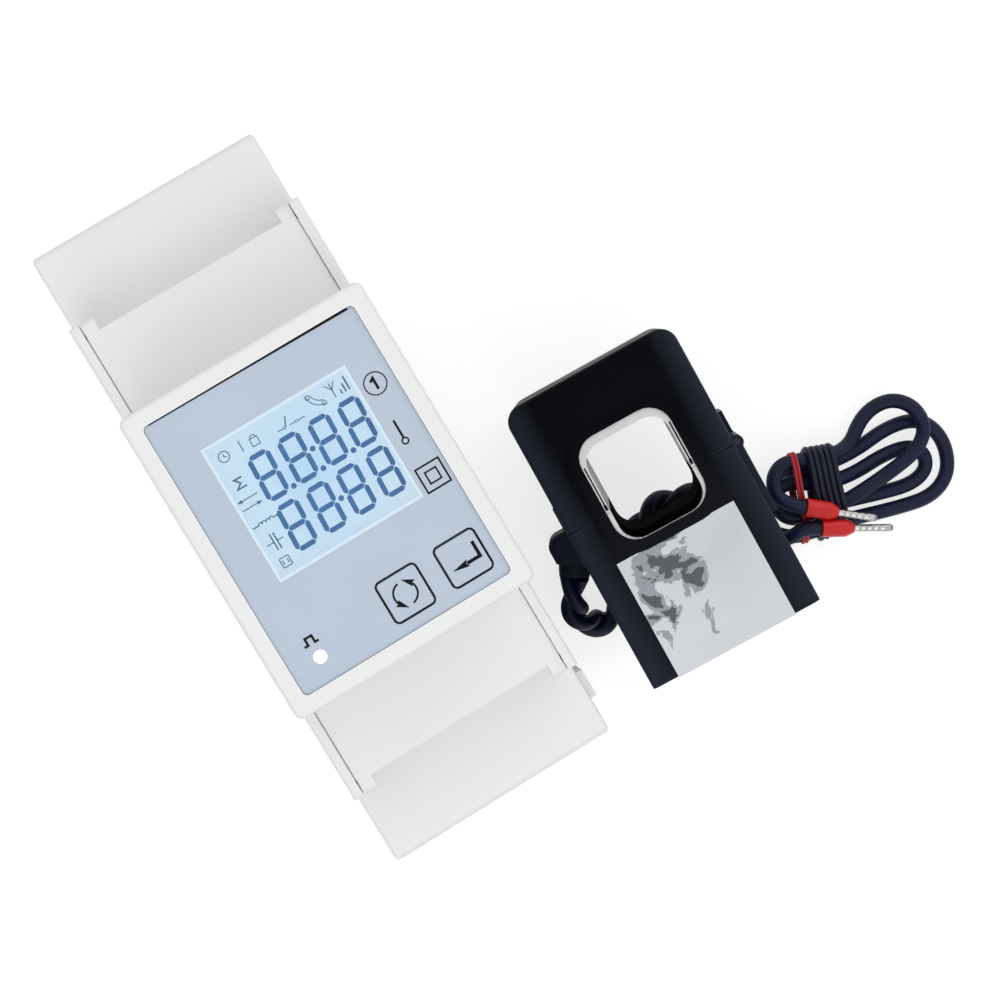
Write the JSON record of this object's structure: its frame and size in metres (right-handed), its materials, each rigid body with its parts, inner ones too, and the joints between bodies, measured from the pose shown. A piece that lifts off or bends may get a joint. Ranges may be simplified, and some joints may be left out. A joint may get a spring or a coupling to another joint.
{
  "type": "energy meter",
  "caption": "Slim rail-mounted energy meter with lit display and keys, stepped terminal ends with flaps, and a hinged split-core current transformer on a tied lead.",
  "frame": {"origin": "centre of the rail seat on the back of the case", "axes": "+X across the case to the transformer's side, +Y towards the mains terminals, +Z out of the display"},
  "size_m": [0.1101, 0.1038, 0.065],
  "materials": {
    "white_plastic": "fine texture",
    "white_block": "satin",
    "grey_faceplate": "satin film",
    "clear_plastic": "clear",
    "display_glass": "backlit, pale blue",
    "light_guide": "frosted",
    "black_plastic": "satin",
    "board_green": "solder mask",
    "grey_rubber": "satin",
    "led_body": "clear epoxy",
    "yellow_film": "box film capacitor",
    "capacitor_sleeve": "shrink sleeve",
    "ferrite": "dull sintered",
    "chip_epoxy": "dull",
    "zinc_plate": "zinc plated",
    "spring_steel": "bright",
    "ct_black": "satin black",
    "bobbin_plastic": "natural nylon",
    "copper_enamel": "enamelled wire under tape",
    "light_grey_liner": "satin",
    "silver_label": "satin foil, blank",
    "lead_sleeve": "soft, slight sheen",
    "wrap_black": "soft",
    "tie_red": "satin",
    "ferrule_red": "smooth",
    "tinned_copper": "crimped"
  },
  "bodies": {
    "meter": {"base_housing": "white_plastic", "front_housing": "white_plastic", "faceplate": "grey_faceplate", "display_window": "clear_plastic", "display_glass": "display_glass", "light_guide": "light_guide", "display_frame": "black_plastic", "display_board": "board_green", "tact_switches": "black_plastic", "pulse_led": "led_body", "light_pipe": "clear_plastic", "main_board": "board_green", "riser_board": "board_green", "mains_capacitor": "yellow_film", "smoothing_capacitors": "capacitor_sleeve", "supply_transformer": "ferrite", "board_chips": "chip_epoxy", "upper_terminal_block": "white_block", "lower_terminal_block": "white_block", "upper_clamp_cages": "zinc_plate", "lower_clamp_cages": "zinc_plate", "upper_clamp_screws": "zinc_plate", "lower_clamp_screws": "zinc_plate", "latch_spring": "spring_steel"},
    "upper_cover": {"upper_terminal_cover": "white_plastic"},
    "lower_cover": {"lower_terminal_cover": "white_plastic"},
    "cycle_key": {"cycle_button": "grey_rubber"},
    "enter_key": {"enter_button": "grey_rubber"},
    "latch": {"rail_latch": "black_plastic"},
    "transformer": {"ct_lower_shell": "ct_black", "ct_lower_core": "ferrite", "ct_bobbin": "bobbin_plastic", "ct_winding": "copper_enamel", "ct_lower_liner": "light_grey_liner", "ct_hinge_pin": "spring_steel", "ct_label": "silver_label", "ct_lead_gland": "ct_black", "lead_hank": "lead_sleeve", "lead_pair": "lead_sleeve", "lead_end_two": "lead_sleeve", "hank_wrap": "wrap_black", "hank_tie": "tie_red", "ferrule_collars": "ferrule_red", "ferrule_pins": "tinned_copper"},
    "transformer_gate": {"ct_upper_shell": "ct_black", "ct_upper_core": "ferrite", "ct_upper_liner": "light_grey_liner"}
  },
  "joints": [
    {"name": "upper_cover_hinge", "type": "hinge", "parent": "meter", "child": "upper_cover", "pos_m": [0, 0.0363, 0.04], "axis": [-1, 0, 0], "range_deg": [0, 105]},
    {"name": "lower_cover_hinge", "type": "hinge", "parent": "meter", "child": "lower_cover", "pos_m": [0, -0.0363, 0.04], "axis": [1, 0, 0], "range_deg": [0, 105]},
    {"name": "cycle_press", "type": "slide", "parent": "meter", "child": "cycle_key", "axis": [0, 0, -1], "range_m": [0, 0.0004], "stiffness_N_per_m": 1200},
    {"name": "enter_press", "type": "slide", "parent": "meter", "child": "enter_key", "axis": [0, 0, -1], "range_m": [0, 0.0004], "stiffness_N_per_m": 1200},
    {"name": "latch_slide", "type": "slide", "parent": "meter", "child": "latch", "axis": [0, -1, 0], "range_m": [0, 0.004], "stiffness_N_per_m": 900, "deforming": ["latch_spring"]},
    {"name": "transformer_lift", "type": "slide", "parent": "meter", "child": "transformer", "axis": [0, 0, 1], "range_m": [0, 0.05]},
    {"name": "transformer_gate_hinge", "type": "hinge", "parent": "transformer", "child": "transformer_gate", "pos_m": [0.05956, -0.02384, 0.00317], "axis": [0.1564, -0.0049, -0.9877], "range_deg": [0, 95]}
  ]
}
